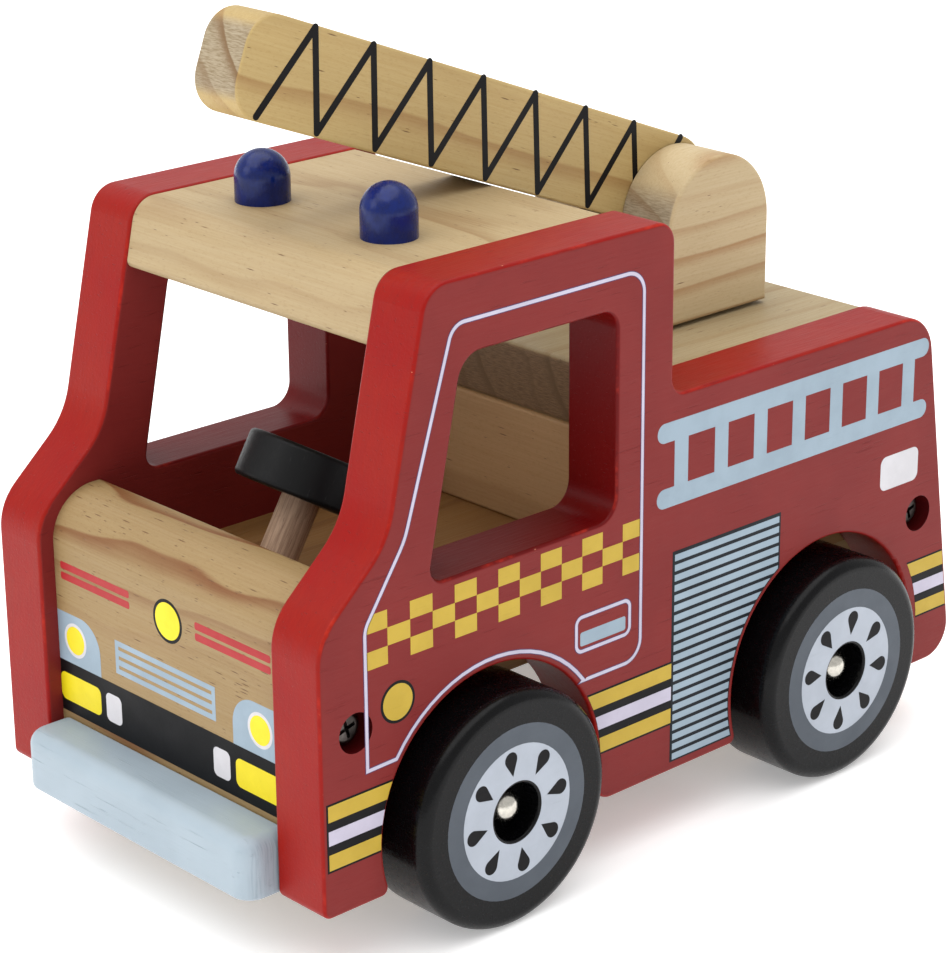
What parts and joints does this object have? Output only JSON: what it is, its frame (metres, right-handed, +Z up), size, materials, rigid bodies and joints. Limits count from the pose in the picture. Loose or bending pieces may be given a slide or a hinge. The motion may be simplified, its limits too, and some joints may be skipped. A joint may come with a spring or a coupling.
{
  "type": "toy_vehicle",
  "caption": "Wooden toy fire engine with red side panels, pine boards, turning wheels and steering wheel, and a swivelling, tilting ladder",
  "frame": {"origin": "on the ground, under the middle of the body's length and width", "axes": "+Z up; the vehicle faces -Y; +X is the vehicle's left side"},
  "size_m": [0.1152, 0.193, 0.1768],
  "materials": {
    "painted_red_wood": "satin red paint, worn to brighter red on the eased edges",
    "plain_pine": "clear satin, straight grain with small knots",
    "painted_pale_blue_wood": "satin pale blue paint",
    "beech_dowel": "plain turned dowel",
    "black_painted_wood": "satin black paint",
    "blue_gloss_paint": "gloss dark blue paint",
    "nickel_plated_steel": "polished nickel",
    "zinc_steel": "zinc plated"
  },
  "bodies": {
    "chassis": {"bulkhead_board": "plain_pine", "bumper": "painted_pale_blue_wood", "bumper_dowels": "beech_dowel", "deck_board": "plain_pine", "deck_dowels": "beech_dowel", "floor_board": "plain_pine", "floor_dowels": "beech_dowel", "front_axle": "zinc_steel", "front_axle_block": "plain_pine", "front_axle_caps": "nickel_plated_steel", "front_block_screws": "zinc_steel", "front_board": "plain_pine", "front_side_screws": "zinc_steel", "front_wheel_washers": "zinc_steel", "left_beacon": "blue_gloss_paint", "left_side_panel": "painted_red_wood", "rear_axle": "zinc_steel", "rear_axle_block": "plain_pine", "rear_axle_caps": "nickel_plated_steel", "rear_block_screws": "zinc_steel", "rear_side_screws": "zinc_steel", "rear_wheel_washers": "zinc_steel", "right_beacon": "blue_gloss_paint", "right_side_panel": "painted_red_wood", "roof_board": "plain_pine", "roof_dowels": "beech_dowel", "tail_board": "plain_pine"},
    "front_left_wheel_body": {"front_left_wheel": "black_painted_wood"},
    "front_right_wheel_body": {"front_right_wheel": "black_painted_wood"},
    "rear_left_wheel_body": {"rear_left_wheel": "black_painted_wood"},
    "rear_right_wheel_body": {"rear_right_wheel": "black_painted_wood"},
    "steering": {"steering_wheel": "black_painted_wood", "steering_column": "beech_dowel"},
    "turntable": {"fork_left_cheek": "plain_pine", "fork_right_cheek": "plain_pine", "fork_block": "plain_pine", "ladder_pivot_dowel": "beech_dowel", "turntable_washer": "zinc_steel", "turntable_screw": "zinc_steel", "turntable_screw_washer": "zinc_steel"},
    "ladder_bar": {"ladder": "plain_pine"}
  },
  "joints": [
    {"name": "front_left_wheel_spin", "type": "hinge", "parent": "chassis", "child": "front_left_wheel_body", "pos_m": [0.0481, -0.0453, 0.025], "axis": [1, 0, 0], "continuous": true},
    {"name": "front_right_wheel_spin", "type": "hinge", "parent": "chassis", "child": "front_right_wheel_body", "pos_m": [-0.0481, -0.0453, 0.025], "axis": [1, 0, 0], "continuous": true},
    {"name": "rear_left_wheel_spin", "type": "hinge", "parent": "chassis", "child": "rear_left_wheel_body", "pos_m": [0.0481, 0.0529, 0.025], "axis": [1, 0, 0], "continuous": true},
    {"name": "rear_right_wheel_spin", "type": "hinge", "parent": "chassis", "child": "rear_right_wheel_body", "pos_m": [-0.0481, 0.0529, 0.025], "axis": [1, 0, 0], "continuous": true},
    {"name": "steering_turn", "type": "hinge", "parent": "chassis", "child": "steering", "pos_m": [0, -0.04785, 0.0803], "axis": [0, 0.521, 0.8536], "continuous": true},
    {"name": "turntable_swivel", "type": "hinge", "parent": "chassis", "child": "turntable", "pos_m": [0, 0.0502, 0.0981], "axis": [0, 0, 1], "continuous": true},
    {"name": "ladder_tilt", "type": "hinge", "parent": "turntable", "child": "ladder_bar", "pos_m": [0, 0.0502, 0.1246], "axis": [-1, 0, 0], "range_deg": [0, 74]}
  ]
}
